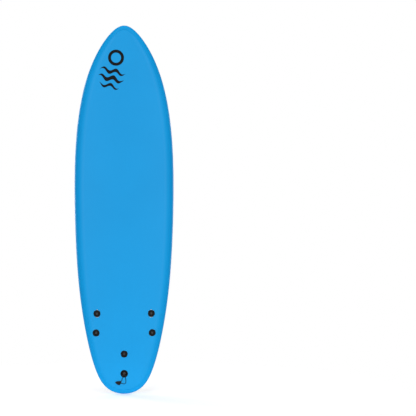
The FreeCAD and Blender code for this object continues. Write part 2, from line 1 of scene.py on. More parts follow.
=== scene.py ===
"""A foam surfboard with three fins, standing on its tail on a white floor.

Axes: X across the board, Y through its thickness with the deck on the +Y side,
Z along it with the nose up.  The board is laid out in millimetres.  "along" is the
distance from the tail tip towards the nose, so Z is along - LENGTH / 2.
"""
import bpy, bmesh, math
from fnmatch import fnmatchcase
import numpy as np
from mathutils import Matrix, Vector

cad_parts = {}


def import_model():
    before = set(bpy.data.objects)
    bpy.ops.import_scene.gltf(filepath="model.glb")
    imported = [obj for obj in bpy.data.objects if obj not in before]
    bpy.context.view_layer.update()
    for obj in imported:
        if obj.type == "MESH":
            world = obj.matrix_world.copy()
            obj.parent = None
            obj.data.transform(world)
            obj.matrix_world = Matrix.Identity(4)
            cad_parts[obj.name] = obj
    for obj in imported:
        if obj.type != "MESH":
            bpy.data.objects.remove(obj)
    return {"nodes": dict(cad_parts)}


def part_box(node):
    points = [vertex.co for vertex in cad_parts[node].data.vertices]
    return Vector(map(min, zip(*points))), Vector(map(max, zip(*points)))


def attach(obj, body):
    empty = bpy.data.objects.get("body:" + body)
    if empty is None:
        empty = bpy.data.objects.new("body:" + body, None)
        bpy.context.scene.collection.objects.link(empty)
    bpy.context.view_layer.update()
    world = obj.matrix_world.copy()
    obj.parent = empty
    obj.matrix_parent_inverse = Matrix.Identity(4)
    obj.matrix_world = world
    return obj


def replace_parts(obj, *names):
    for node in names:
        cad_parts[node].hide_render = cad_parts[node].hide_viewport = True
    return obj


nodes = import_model()["nodes"]
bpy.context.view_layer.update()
MM = 0.001

# ------------------------------------------------------------------ board form
LENGTH = 2134.0
# Each table runs from tail to nose at equal steps of an angle 0..pi, where
# along = LENGTH * (1 - cos(angle)) / 2, so the stations crowd towards the tips.
HALF_WIDTH = [
    0.0, 34.10, 66.20, 94.20, 118.30, 138.95, 156.50, 172.30, 186.96, 200.91, 214.04,
    226.50, 238.20, 248.92, 258.41, 266.48, 273.09, 278.33, 282.38, 285.43, 287.59,
    288.83, 289.00, 287.84, 285.05, 280.31, 273.37, 264.05, 252.23, 237.86, 220.99,
    201.77, 180.51, 157.67, 133.87, 109.79, 86.07, 63.18, 41.32, 20.39, 0.0]
# height of the bottom
RISE = [
    55.81, 55.23, 53.54, 50.92, 47.59, 43.73, 39.44, 34.79, 29.84, 24.73, 19.71,
    15.06, 11.08, 7.93, 5.60, 3.95, 2.75, 1.81, 1.01, 0.37, 0.0,
    0.02, 0.51, 1.52, 3.03, 5.07, 7.73, 11.17, 15.62, 21.29, 28.32,
    36.72, 46.36, 56.97, 68.13, 79.30, 89.86, 99.09, 106.31, 110.92, 112.51]
THICKNESS = [
    35.55, 36.07, 37.59, 40.00, 43.11, 46.76, 50.76, 54.98, 59.27, 63.47, 67.43,
    70.99, 74.03, 76.49, 78.39, 79.85, 81.03, 82.05, 83.00, 83.83, 84.45,
    84.70, 84.45, 83.68, 82.46, 80.94, 79.30, 77.66, 76.02, 74.22, 72.02,
    69.16, 65.44, 60.82, 55.45, 49.67, 43.94, 38.79, 34.71, 32.09, 31.19]
BELLY_TRIM = 0.6        # taken off the tabled rise
TIP_ROUND = 17.0        # length over which the thickness rounds off at either tip
APEX_SHARE = 0.46       # height of the rail's widest line, as a share of the thickness
# reach of the rail curves in from the edge, and the crown of the deck, each with
# its limit as a share of the half width or of the height above the apex
RAIL_TOP_REACH, RAIL_TOP_LIMIT = 58.0, 0.52
RAIL_LOW_REACH, RAIL_LOW_LIMIT = 16.0, 0.4
DECK_DOME, DOME_LIMIT = 4.0, 0.2
# distances in from the plan outline: deck seam, slick sheet edge, printed border
SEAM_IN, SLICK_IN, BORDER_IN = 25.0, 11.0, 20.5
# the foam dips by this much at its seams, over the roll width
DECK_ROLL, SLICK_ROLL, ROLL_WIDTH = 0.9, 0.35, 1.4
DECK_SHEET, SLICK_SHEET = 4.6, 1.15     # sheet thicknesses
PLAN_STEPS = 900        # outline steps from tail to nose

SHEET_ROWS = 520
SHEET_COLS = 170
RAIL_STEPS = 900
PRINT_STEP = 4.5


def spline(table, angle):
    """Cubic through a table of equally spaced values, for angles 0..pi."""
    table = np.asarray(table, float)
    last = len(table) - 1
    padded = np.concatenate([[2 * table[0] - table[1]], table,
                             [2 * table[last] - table[last - 1]]])
    place = np.clip(np.asarray(angle, float) / math.pi * last, 0, last)
    i = np.minimum(place.astype(int), last - 1)
    t = place - i
    p0, p1, p2, p3 = padded[i], padded[i + 1], padded[i + 2], padded[i + 3]
    return 0.5 * (2 * p1 + (p2 - p0) * t + (2 * p0 - 5 * p1 + 4 * p2 - p3) * t ** 2
                  + (3 * p1 - p0 - 3 * p2 + p3) * t ** 3)


def section(along):
    """Lowest height, highest height, half width and apex height of a cross section."""
    along = np.asarray(along, float)
    angle = np.arccos(np.clip(1 - 2 * along / LENGTH, -1, 1))
    rise = spline(RISE, angle) - BELLY_TRIM
    low = np.maximum(rise, 0.0)
    high = rise + spline(THICKNESS, angle)
    apex = low + APEX_SHARE * (high - low)
    from_tip = np.minimum(along, LENGTH - along)
    short = np.clip(TIP_ROUND - from_tip, 0, None) / TIP_ROUND
    full = np.sqrt(np.clip(1 - short ** 2, 0, 1))
    return apex - (apex - low) * full, apex + (high - apex) * full, \
        spline(HALF_WIDTH, angle), apex


def top_y(x, along):
    """Height of the deck and upper rail."""
    x = np.abs(np.asarray(x, float))
    _, high, half, apex = section(along)
    reach = np.minimum(RAIL_TOP_REACH, RAIL_TOP_LIMIT * half)
    dome = np.minimum(DECK_DOME * (half / max(HALF_WIDTH)) ** 2, DOME_LIMIT * (high - apex))
    flat = np.maximum(half - reach, 1e-6)
    q = np.clip((x - flat) / np.maximum(reach, 1e-6), 0, 1)
    arc = np.sqrt(1 - q * q)
    slope = 2 * dome / flat * reach
    return np.where(x <= flat, high - dome * (x / flat) ** 2,
                    apex + (high - dome - apex) * arc - slope * q * arc ** 2)


def low_y(x, along):
    """Height of the bottom and lower rail."""
    x = np.abs(np.asarray(x, float))
    low, _, half, apex = section(along)
    reach = np.minimum(RAIL_LOW_REACH, RAIL_LOW_LIMIT * half)
    q = np.clip((x - (half - reach)) / np.maximum(reach, 1e-6), 0, 1)
    return apex - (apex - low) * np.sqrt(1 - q * q)


def outline(steps):
    """Closed plan outline from the tail up the +X side and back down the other:
    arrays of x, along and the two parts of the inward unit normal."""
    turn = np.linspace(0, 2 * math.pi, 2 * steps, endpoint=False)
    angle = np.where(turn <= math.pi, turn, 2 * math.pi - turn)
    x = spline(HALF_WIDTH, angle) * np.where(turn <= math.pi, 1.0, -1.0)
    along = LENGTH * (1 - np.cos(angle)) / 2
    dx = np.roll(x, -1) - np.roll(x, 1)
    da = np.roll(along, -1) - np.roll(along, 1)
    size = np.hypot(dx, da)
    return x, along, -da / size, dx / size


# the +X half of the outline, tail to nose
PLAN_X, PLAN_ALONG, NORMAL_X, NORMAL_ALONG = (v[:PLAN_STEPS + 1] for v in outline(PLAN_STEPS))


def inset_width(inset):
    """Half width of the outline moved in by a distance, as a function of along."""
    x, along = PLAN_X + inset * NORMAL_X, PLAN_ALONG + inset * NORMAL_ALONG
    keep = x > 0.0
    x, along = x[keep], along[keep]
    order = np.argsort(along)
    widths = np.concatenate([[0.0], x[order], [0.0]])
    places = np.concatenate([[inset], along[order], [LENGTH - inset]])
    return lambda at: np.interp(at, places, widths)


def to_z(along):
    return np.asarray(along, float) - LENGTH / 2


# ------------------------------------------------------------------ holes in the sheets
# A hole is three functions: plan point to the hole's own (across, aft) frame, the
# way back, and the signed distance to its edge, negative inside.
FIN_HALF, FIN_CORNER, FIN_LENGTH = 19.0, 13.0, 160.0    # fin base outline
FIN_GAP = 0.35          # clearance round a fin base
BOLT_SETBACK = 18.6     # front edge of a fin base to its front bolt
PLUG_OVERLAP = 0.25     # how far the deck covers a plug's edge


def fin_hole(base_x, base_along, toe):
    """A fin base: round corners in front, a half disc aft, turned by the toe angle."""
    ct, st = math.cos(toe), math.sin(toe)
    half, corner = FIN_HALF + FIN_GAP, FIN_CORNER + FIN_GAP

    def local(x, along):
        dx, da = x - base_x, along - base_along
        return dx * ct + da * st, -(da * ct - dx * st)

    def back(across, aft):
        return base_x + (across * ct + aft * st), base_along + (-aft * ct + across * st)

    def distance(across, aft):
        across = np.abs(across)
        qx = across - (half - corner)
        qa = (corner - FIN_GAP) - aft
        front = np.where((qx > 0) & (qa > 0), np.hypot(qx, qa) - corner,
                         np.maximum(across - half, -FIN_GAP - aft))
        centre = FIN_LENGTH - FIN_HALF
        rear = np.hypot(across, aft - centre) - half
        return np.where(aft > centre, rear, front)
    return local, back, distance


def round_hole(centre_x, centre_along, radius):
    def local(x, along):
        return x - centre_x, along - centre_along

    def back(across, aft):
        return centre_x + across, centre_along + aft

    def distance(across, aft):
        return np.hypot(across, aft) - radius
    return local, back, distance


def snap_holes(X, A, holes, step=1.6):
    """Move grid points near a hole's edge onto it.  Returns the mask of the points
    that lie inside a hole."""
    inside = np.zeros(X.shape, bool)
    h = 0.02    # step of the numeric gradient
    for local, back, distance in holes:
        u, a = local(X, A)
        start = distance(u, a)
        near = np.abs(start) < step
        for _ in range(3):
            d = distance(u, a)
            gu = (distance(u + h, a) - distance(u - h, a)) / (2 * h)
            ga = (distance(u, a + h) - distance(u, a - h)) / (2 * h)
            u = np.where(near, u - d * gu, u)
            a = np.where(near, a - d * ga, a)
        moved_x, moved_along = back(u, a)
        X[near], A[near] = moved_x[near], moved_along[near]
        inside |= start <= -step
    return inside


BOLTS = {}
for side in ("left", "right", "centre"):
    for end in ("front", "rear"):
        low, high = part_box(side + "_" + end + "_bolt")
        middle = (low + high) / 2
        BOLTS[side, end] = (middle.x / MM, middle.z / MM + LENGTH / 2)


def fin_base(side):
    """Middle of a fin base's front edge and its toe angle, from the two bolts."""
    (front_x, front_along), (rear_x, rear_along) = BOLTS[side, "front"], BOLTS[side, "rear"]
    toe = math.atan2(rear_x - front_x, front_along - rear_along)
    return (front_x - BOLT_SETBACK * math.sin(toe),
            front_along + BOLT_SETBACK * math.cos(toe), toe)


FIN_BASES = [fin_base(side) for side in ("left", "right", "centre")]


def plug_hole(side, end):
    """The leash cup takes the place of the rear centre plug."""
    node = side + "_" + end + "_deck_plug"
    if (side, end) == ("centre", "rear"):
        node = "leash_plug_cup"
    low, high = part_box(node)
    return round_hole(*BOLTS[side, end], (high.x - low.x) / 2 / MM - PLUG_OVERLAP)


# ------------------------------------------------------------------ mesh helpers
def new_mesh(name, verts, faces, mat, smooth=True):
    """A mesh object from millimetre vertices, riding on the board."""
    mesh = bpy.data.meshes.new(name)
    mesh.from_pydata((np.asarray(verts, float) * MM).tolist(), [], faces)
    mesh.validate()
    bm = bmesh.new()
    bm.from_mesh(mesh)
    bmesh.ops.recalc_face_normals(bm, faces=bm.faces)
    bm.to_mesh(mesh)
    bm.free()
    if smooth:
        mesh.shade_smooth()
        mesh.set_sharp_from_angle(angle=math.radians(40))
    obj = bpy.data.objects.new(name, mesh)
    bpy.context.scene.collection.objects.link(obj)
    mesh.materials.append(mat)
    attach(obj, "board")
    return obj


def corners(grid):
    """The four corners of every grid cell, in order round the cell."""
    return grid[:-1, :-1], grid[:-1, 1:], grid[1:, 1:], grid[1:, :-1]


def sheet(name, inset, height, thick, up, holes, mat, roll):
    """A closed thin sheet over the plan outline moved in by a distance.
    up = 1 for the deck (thickness goes down), -1 for the bottom."""
    angle = np.linspace(0, math.pi, SHEET_ROWS + 1)
    along = inset + (LENGTH - 2 * inset) * (1 - np.cos(angle)) / 2
    edge = np.array([0.9915, 0.9965, 1.0])      # close columns for the rolled edge
    share = np.concatenate([-edge[::-1], np.linspace(-0.985, 0.985, SHEET_COLS), edge])
    half = inset_width(inset)(along)
    X = share[None, :] * half[:, None]
    A = np.repeat(along[:, None], len(share), 1)
    # distance to the edge, square to it; the tiny ramp keeps the stations distinct
    taper = np.gradient(half, along + np.arange(len(along)) * 1e-9)
    to_edge = (half[:, None] - np.abs(X)) / np.sqrt(1 + taper[:, None] ** 2)
    inside = snap_holes(X, A, holes)
    outer = height(X, A) - up * roll * np.clip(1 - to_edge / ROLL_WIDTH, 0, 1) ** 2
    inner = height(X, A) - up * thick
    index = np.arange(X.size).reshape(X.shape)
    # the two ends are single points
    index[0, :] = index[0, 0]
    index[-1, :] = index[-1, 0]
    skip = np.logical_or.reduce(corners(inside))
    # a cell whose four corners all lie on or in a hole is part of the hole
    (x00, x01, x11, x10), (a00, a01, a11, a10) = corners(X), corners(A)
    mid_x, mid_along = (x00 + x11 + x01 + x10) / 4, (a00 + a11 + a01 + a10) / 4
    for local, _, distance in holes:
        skip |= distance(*local(mid_x, mid_along)) < -0.05
    cells = np.stack(corners(index), -1).reshape(-1, 4).tolist()
    top = [list(dict.fromkeys(cell)) for cell, out in zip(cells, skip.ravel()) if not out]
    top = [face for face in top if len(face) >= 3]
    used = sorted({v for face in top for v in face})
    renumber = {v: i for i, v in enumerate(used)}
    top = [[renumber[v] for v in face] for face in top]
    verts = [np.stack([X.ravel(), y.ravel(), to_z(A).ravel()], 1)[used] for y in (outer, inner)]
    n = len(used)
    # directed edges in face order; one without its twin lies on a border
    edges = dict.fromkeys((p, q) for face in top for p, q in zip(face, face[1:] + face[:1]))
    walls = [(q, p, p + n, q + n) for p, q in edges if (q, p) not in edges]
    faces = top + [[v + n for v in reversed(face)] for face in top] + walls
    return new_mesh(name, np.concatenate(verts), faces, mat)


# ------------------------------------------------------------------ materials
class Material:
    """A node material on the Principled shader, in object coordinates."""

    def __init__(self, name):
        self.material = bpy.data.materials.new(name)
        self.material.use_nodes = True
        self.tree = self.material.node_tree
        self.shader = self.tree.nodes["Principled BSDF"]
        self.coords = self.node("ShaderNodeTexCoord").outputs["Object"]

    def node(self, kind, **settings):
        node = self.tree.nodes.new(kind)
        for key, value in settings.items():
            setattr(node, key, value)
        return node

    def feed(self, socket, value):
        """Link an output, or set a number or an RGB colour."""
        if isinstance(value, bpy.types.NodeSocket):
            self.tree.links.new(value, socket)
        elif isinstance(value, tuple):
            socket.default_value = (*value, 1)
        else:
            socket.default_value = value

    def put(self, name, value):
        self.feed(self.shader.inputs[name], value)

    def scaled(self, scale):
        node = self.node("ShaderNodeMapping")
        node.inputs["Scale"].default_value = scale
        self.feed(node.inputs["Vector"], self.coords)
        return node.outputs["Vector"]

    def texture(self, node, output, vector=None, **values):
        for key, value in values.items():
            node.inputs[key].default_value = value
        self.feed(node.inputs["Vector"], vector or self.coords)
        return node.outputs[output]

    def noise(self, scale, detail=3.0, rough=0.55, vector=None, distortion=0.0):
        return self.texture(self.node("ShaderNodeTexNoise"), "Fac", vector, Scale=scale,
                            Detail=detail, Roughness=rough, Distortion=distortion)

    def voronoi(self, scale, feature="F1"):
        return self.texture(self.node("ShaderNodeTexVoronoi", feature=feature), "Distance",
                            Scale=scale)

    def wave(self, scale, distortion):
        return self.texture(self.node("ShaderNodeTexWave"), "Fac", Scale=scale,
                            Distortion=distortion)

    def streaks(self):
        """Noise drawn out along the board."""
        return self.noise(scale=60.0, detail=4.0, rough=0.6,
                          vector=self.scaled((1.0, 1.0, 0.06)))

    def ramp(self, factor, stops):
        node = self.node("ShaderNodeValToRGB")
        elements = node.color_ramp.elements
        while len(elements) < len(stops):
            elements.new(0.5)
        for element, (position, color) in zip(elements, stops):
            element.position = position
            element.color = (*color, 1)
        self.feed(node.inputs["Fac"], factor)
        return node.outputs["Color"]

    def span(self, value, to=(0.0, 1.0), over=(0.0, 1.0)):
        """Map the range "over" onto the range "to"."""
        node = self.node("ShaderNodeMapRange")
        node.inputs["From Min"].default_value, node.inputs["From Max"].default_value = over
        node.inputs["To Min"].default_value, node.inputs["To Max"].default_value = to
        self.feed(node.inputs["Value"], value)
        return node.outputs["Result"]

    def math(self, operation, first, second):
        node = self.node("ShaderNodeMath", operation=operation)
        self.feed(node.inputs[0], first)
        self.feed(node.inputs[1], second)
        return node.outputs[0]

    def plus(self, first, second, weight):
        """first + second * weight"""
        return self.math("ADD", first, self.math("MULTIPLY", second, weight))

    def mix(self, factor, low, high):
        node = self.node("ShaderNodeMix", data_type="RGBA")
        # 0, 6, 7 and output 2 are the colour sockets among those of all data types
        for i, value in ((0, factor), (6, low), (7, high)):
            self.feed(node.inputs[i], value)
        return node.outputs[2]

    def bump(self, height, distance, strength, normal=None):
        node = self.node("ShaderNodeBump")
        node.inputs["Distance"].default_value = distance
        node.inputs["Strength"].default_value = strength
        self.feed(node.inputs["Height"], height)
        if normal:
            self.feed(node.inputs["Normal"], normal)
        self.put("Normal", node.outputs["Normal"])
        return node.outputs["Normal"]


def foam_skin(name, base, dark, specular):
    m = Material(name)
    broad = m.noise(scale=3.2, detail=2.0, rough=0.5)
    fine = m.noise(scale=620.0, detail=2.0, rough=0.6)
    cell = m.voronoi(scale=900.0)
    color = m.mix(m.span(broad, over=(0.34, 0.66)), low=dark, high=base)
    speck = m.span(fine, to=(0.0, 0.22), over=(0.42, 0.62))
    m.put("Base Color", m.mix(speck, low=color, high=tuple(c * 1.10 for c in base)))
    m.put("Roughness", m.span(fine, to=(0.34, 0.46)))
    m.put("Specular IOR Level", specular)
    height = m.math("ADD", m.math("MULTIPLY", cell, 0.5), m.math("MULTIPLY", fine, 0.6))
    grain = m.bump(height, distance=0.00022, strength=0.55)
    m.bump(broad, distance=0.004, strength=0.10, normal=grain)
    return m.material


def slick_sheet():
    m = Material("slick_mat")
    broad = m.noise(scale=5.0, detail=2.0)
    m.put("Base Color", m.mix(m.span(broad, over=(0.3, 0.7)),
                              low=(0.90, 0.90, 0.895), high=(0.945, 0.945, 0.94)))
    m.put("Roughness", m.span(m.streaks(), to=(0.10, 0.26), over=(0.35, 0.75)))
    m.put("Coat Weight", 0.35)
    m.put("Coat Roughness", 0.08)
    m.bump(m.noise(scale=140.0, detail=2.0), distance=0.0003, strength=0.12)
    return m.material


def black_ink(name, rough):
    m = Material(name)
    m.put("Specular IOR Level", 0.09)
    grain = m.noise(scale=420.0)
    m.put("Base Color", m.mix(m.span(grain, over=(0.4, 0.7)),
                              low=(0.0012, 0.0012, 0.0013), high=(0.0034, 0.0034, 0.0036)))
    m.put("Roughness", m.span(m.streaks(), to=rough, over=(0.35, 0.75)))
    m.bump(grain, distance=0.0001, strength=0.15)
    return m.material


def black_plastic(name, base, grain, rough, specular):
    m = Material(name)
    fine = m.noise(scale=grain, rough=0.6)
    cell = m.voronoi(scale=grain * 0.8)
    broad = m.noise(scale=26.0, rough=0.6, vector=m.scaled((1.0, 1.0, 0.35)))
    m.put("Base Color", m.mix(m.span(broad, over=(0.35, 0.7)),
                              low=base, high=tuple(c * 2.1 for c in base)))
    m.put("Roughness", m.span(broad, to=rough, over=(0.3, 0.7)))
    m.put("Specular IOR Level", specular)
    normal = m.bump(m.plus(fine, cell, weight=0.7), distance=0.00016, strength=0.5)
    m.bump(broad, distance=0.0006, strength=0.12, normal=normal)
    return m.material


def grained(name, scale, low, high, rough, bump, detail=3.0):
    """Plain stuff whose colour, roughness and bump follow one fine noise.
    bump is the distance and the strength."""
    m = Material(name)
    grain = m.noise(scale=scale, detail=detail)
    m.put("Base Color", m.mix(grain, low=low, high=high))
    m.put("Roughness", m.span(grain, to=rough))
    m.bump(grain, *bump)
    return m.material


def bead_foam():
    m = Material("eps_mat")
    edge = m.voronoi(scale=260.0, feature="DISTANCE_TO_EDGE")
    tint = m.voronoi(scale=260.0)
    seam = m.span(edge, over=(0.0, 0.12))
    bead = m.mix(tint, low=(0.92, 0.92, 0.90), high=(0.86, 0.86, 0.84))
    m.put("Base Color", m.mix(seam, low=(0.70, 0.70, 0.68), high=bead))
    m.put("Roughness", 0.85)
    m.bump(m.span(edge, over=(0.0, 0.2)), distance=0.0006, strength=0.7)
    return m.material


def stringer_wood():
    m = Material("stringer_wood_mat")
    stretched = m.scaled((60.0, 26.0, 1.6))
    rings = m.noise(scale=5.0, detail=5.0, rough=0.6, vector=stretched, distortion=0.4)
    fine = m.noise(scale=40.0, rough=0.6, vector=stretched)
    m.put("Base Color", m.ramp(rings, stops=[
        (0.3, (0.42, 0.25, 0.12)), (0.5, (0.62, 0.42, 0.23)), (0.72, (0.72, 0.53, 0.32))]))
    m.put("Roughness", m.span(fine, to=(0.55, 0.8)))
    m.bump(m.plus(rings, fine, weight=0.4), distance=0.0004, strength=0.5)
    return m.material


def metal(name, base, rough=(0.2, 0.38), grain=300.0):
    m = Material(name)
    fine = m.noise(scale=grain, rough=0.6, vector=m.scaled((1, 1, 1)))
    broad = m.noise(scale=90.0, detail=2.0)
    m.put("Base Color", m.mix(m.span(broad, over=(0.35, 0.7)),
                              low=tuple(c * 0.82 for c in base), high=base))
    m.put("Metallic", 1.0)
    m.put("Roughness", m.span(fine, to=rough, over=(0.3, 0.7)))
    m.bump(fine, distance=0.00005, strength=0.35)
    return m.material


def cord():
    m = Material("cord_mat")
    weave = m.wave(scale=520.0, distortion=2.0)
    grain = m.noise(scale=2600.0, detail=2.0)
    m.put("Base Color", m.mix(m.span(grain, over=(0.35, 0.7)),
                              low=(0.0025, 0.0025, 0.003), high=(0.012, 0.012, 0.013)))
    m.put("Roughness", m.span(grain, to=(0.6, 0.85)))
    m.put("Specular IOR Level", 0.2)
    m.bump(m.math("ADD", weave, grain), distance=0.00012, strength=0.6)
    return m.material


mat_deck = foam_skin("deck_foam_mat", base=(0.0048, 0.304, 0.676),
                     dark=(0.0042, 0.292, 0.652), specular=0.12)
# the rail foam is the deck foam painted a touch darker: painted shade for the rail rolling away
# from the light
mat_rail_painted_shade = foam_skin("rail_foam_painted_shade_mat", base=(0.0045, 0.297, 0.664),
                     dark=(0.0039, 0.284, 0.640), specular=0.07)
mat_slick = slick_sheet()
mat_ink = black_ink("ink_mat", rough=(0.24, 0.38))
mat_deck_ink = black_ink("deck_ink_mat", rough=(0.42, 0.56))
mat_plug = black_plastic("plug_mat", base=(0.0016, 0.0015, 0.0016), grain=1100.0,
                         rough=(0.40, 0.55), specular=0.12)
mat_fin = black_plastic("fin_mat", base=(0.0022, 0.0022, 0.0024), grain=900.0,
                        rough=(0.26, 0.40), specular=0.16)
mat_rubber = grained("rubber_mat", scale=1400.0, detail=2.0, low=(0.012, 0.012, 0.012),
                     high=(0.03, 0.03, 0.03), rough=(0.7, 0.9), bump=(0.0002, 0.5))
mat_eps = bead_foam()
mat_liner = grained("liner_foam_mat", scale=700.0, low=(0.74, 0.74, 0.73),
                    high=(0.88, 0.88, 0.87), rough=(0.6, 0.85), bump=(0.0003, 0.5))
mat_wood = stringer_wood()
mat_steel = metal("steel_mat", base=(0.055, 0.054, 0.056), rough=(0.30, 0.45))
mat_bolt = metal("bolt_mat", base=(0.060, 0.058, 0.060), rough=(0.26, 0.42), grain=420.0)
mat_brass = metal("brass_mat", base=(0.80, 0.58, 0.25))
mat_sleeve = grained("sleeve_mat", scale=800.0, low=(0.60, 0.60, 0.60),
                     high=(0.74, 0.74, 0.74), rough=(0.35, 0.55), bump=(0.0001, 0.3))
mat_cord = cord()

# node name pattern, material; the first match counts and the rest is cord
PAINT = (
    ("foam_core*", mat_eps), ("stringer*", mat_wood), ("*deck_plug", mat_plug),
    ("leash_plug_cup", mat_plug), ("*_fin", mat_fin), ("*_gasket", mat_rubber),
    ("*_inserts", mat_brass), ("*_sleeves", mat_sleeve), ("*_bolt", mat_bolt),
    ("bolt_washers", mat_steel), ("leash_bar", mat_steel), ("bottom_liner", mat_liner),
    ("deck_skin", mat_deck), ("rail_band", mat_rail_painted_shade), ("bottom_slick", mat_slick),
    ("*", mat_cord))
for node_name in nodes:
    slots = nodes[node_name].data.materials
    slots.clear()
    slots.append(next(mat for pattern, mat in PAINT if fnmatchcase(node_name, pattern)))

# ------------------------------------------------------------------ deck, bottom, rails
deck = sheet("deck_foam_sheet", SEAM_IN, top_y, thick=DECK_SHEET, up=1,
             holes=[plug_hole(side, end) for side, end in BOLTS],
             mat=mat_deck, roll=DECK_ROLL)
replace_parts(deck, "deck_skin")

slick = sheet("bottom_slick_sheet", SLICK_IN, low_y, thick=SLICK_SHEET, up=-1,
              holes=[fin_hole(*base) for base in FIN_BASES],
              mat=mat_slick, roll=SLICK_ROLL)
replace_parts(slick, "bottom_slick")


def rail():
    """A closed ring round the board, between the deck seam and the slick sheet."""
    edge_x, edge_along, normal_x, normal_along = outline(RAIL_STEPS)
    # distances in from the outline, from the deck seam outwards and back underneath
    top_depths = [SEAM_IN, SEAM_IN - 0.5, SEAM_IN - 1.4,
                  *np.linspace(SEAM_IN - 3.0, 3.0, 11), 1.9, 1.1, 0.55, 0.22, 0.06]
    low_depths = [0.06, 0.25, 0.6, 1.1, 1.8, 2.7, 3.8, 5.0, 6.3, 7.6, 8.7, 9.5, SLICK_IN]

    def loop(depth, height, lift=0.0):
        x, along = edge_x + depth * normal_x, edge_along + depth * normal_along
        return np.stack([x, height(x, along) + lift, to_z(along)], 1)

    def dip(from_seam):
        return max(0.0, 1 - from_seam / ROLL_WIDTH) ** 2

    loops = [loop(d, top_y, -DECK_ROLL * dip(SEAM_IN - d)) for d in top_depths]
    loops.append(loop(0.0, lambda x, along: section(along)[3]))
    loops += [loop(d, low_y, SLICK_ROLL * dip(SLICK_IN - d)) for d in low_depths]
    # inner wall
    loops += [loop(d, low_y, 4.2) for d in (SLICK_IN, SLICK_IN + 6)]
    loops += [loop(d, top_y, -4.8) for d in (10.0, SEAM_IN)]
    count, size = len(loops), 2 * RAIL_STEPS
    faces = []
    for j in range(count):
        here, there = j * size, (j + 1) % count * size
        for i in range(size):
            i2 = (i + 1) % size
            faces.append((here + i, here + i2, there + i2, there + i))
    return new_mesh("rail_foam_band", np.concatenate(loops), faces, mat_rail_painted_shade)


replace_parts(rail(), "rail_band")

# ------------------------------------------------------------------ printed bars on the bottom
PITCH = 30.0                # mean distance between bars
WAVE, WAVE_2 = 7.6, 4.9     # periods of the spacing's two waves, in bars
CELL = 57.5                 # spacing across the board of the uprights and teeth
CELL_SHIFT = -4.0
UPRIGHT_HALF = 2.3
TOOTH_HALF = 7.5
DASH = (17, 40.5)           # ends of a dash, from its cell's upright
DASH_HALF, DASH_SHARE = 3.0, 0.19   # most half height, and its share of the gap
PRINT_REACH = 290.0         # beyond the board's half width
JOIN = 0.012                # overlap of gap figures with the bars, in bars
MIN_OPEN = 0.02             # least height of a strip inside the border
MIN_BESIDE = 0.15           # least height of a strip beside a fin base
MIN_RUN = 0.8               # least width of a strip
# columns near the sides of a fin base, inwards from each side
SIDE_COLUMNS = (-1.0, -0.01, 0.01, 0.6, 1.5, 3.0, 5.0, 7.5, 10.0, 13.0)


def wave(t, amp, shift, amp2):
    """Station of bar number t, with its even spacing swayed by two waves."""
    return PITCH * (t + amp * math.sin(2 * math.pi * t / WAVE + shift)
                    + amp2 * math.sin(2 * math.pi * t / WAVE_2 + 1.3 * shift + 0.7))


def ease(q):
    """0 to 1 with straight flanks and small round corners."""
    q = min(max(q, 0.0), 1.0)
    r = 0.16
    if q < r:
        return q * q / (2 * r * (1 - r))
    if q > 1 - r:
        return 1 - (1 - q) ** 2 / (2 * r * (1 - r))
    return (q - r / 2) / (1 - r)


def bar_line(x, t):
    """Station of bar line t at x: level over the middle, sloping to either side."""
    middle = wave(t, amp=0.55, shift=0.0, amp2=0.06)
    drift = 14.0 * math.sin(t / 5.3)
    if x < 0:
        side = wave(t, amp=-0.44, shift=0.4, amp2=0.05)
        q = ease((-x - 96.0 - drift) / 128.0)
    else:
        side = wave(t, amp=-0.26, shift=-0.4, amp2=0.09)
        q = ease((x - 128.0 + drift) / 112.0)
    return middle + (side - middle) * q


border_along = np.concatenate([np.linspace(BORDER_IN, 60, 60),
                               np.linspace(62, LENGTH - 62, 300),
                               np.linspace(LENGTH - 60, LENGTH - BORDER_IN, 60)])
border_x = inset_width(BORDER_IN)(border_along)
widest = int(np.argmax(border_x))
border_half = float(border_x[widest]) - 0.01


def border_low(x):
    return float(np.interp(abs(x), border_x[:widest + 1], border_along[:widest + 1]))


def border_high(x):
    return float(np.interp(-abs(x), -border_x[widest:], border_along[widest:]))


def fin_span(base):
    """The x values a fin base covers, and its aft and front ends at each of them."""
    local, _, distance = fin_hole(*base)
    base_x, base_along, _ = base
    xs = np.arange(base_x - 40, base_x + 40, 0.25)
    places = np.arange(base_along - 166, base_along + 6, 0.25)
    hit = distance(*local(*np.meshgrid(xs, places, indexing="ij"))) < 0.5
    covered = hit.any(1)
    hit = hit[covered]
    return (xs[covered], places[hit.argmax(1)],
            places[len(places) - 1 - hit[:, ::-1].argmax(1)])


FIN_SPANS = [fin_span(base) for base in FIN_BASES]


def fin_cover(x):
    """Aft and front end of the fin base at x, or None."""
    for xs, aft, front in FIN_SPANS:
        if xs[0] <= x <= xs[-1]:
            return float(np.interp(x, xs, aft)), float(np.interp(x, xs, front))
    return None


def strip_columns(start, end):
    """Column places from start to end, closer together at the sides of a fin base."""
    count = max(1, int(math.ceil((end - start) / PRINT_STEP)))
    columns = set(np.linspace(start, end, count + 1).tolist())
    for xs, _, _ in FIN_SPANS:
        for edge, sign in ((xs[0], 1), (xs[-1], -1)):
            for inward in SIDE_COLUMNS:
                x = float(edge + sign * inward)
                if start < x < end:
                    columns.add(x)
    return sorted(columns)


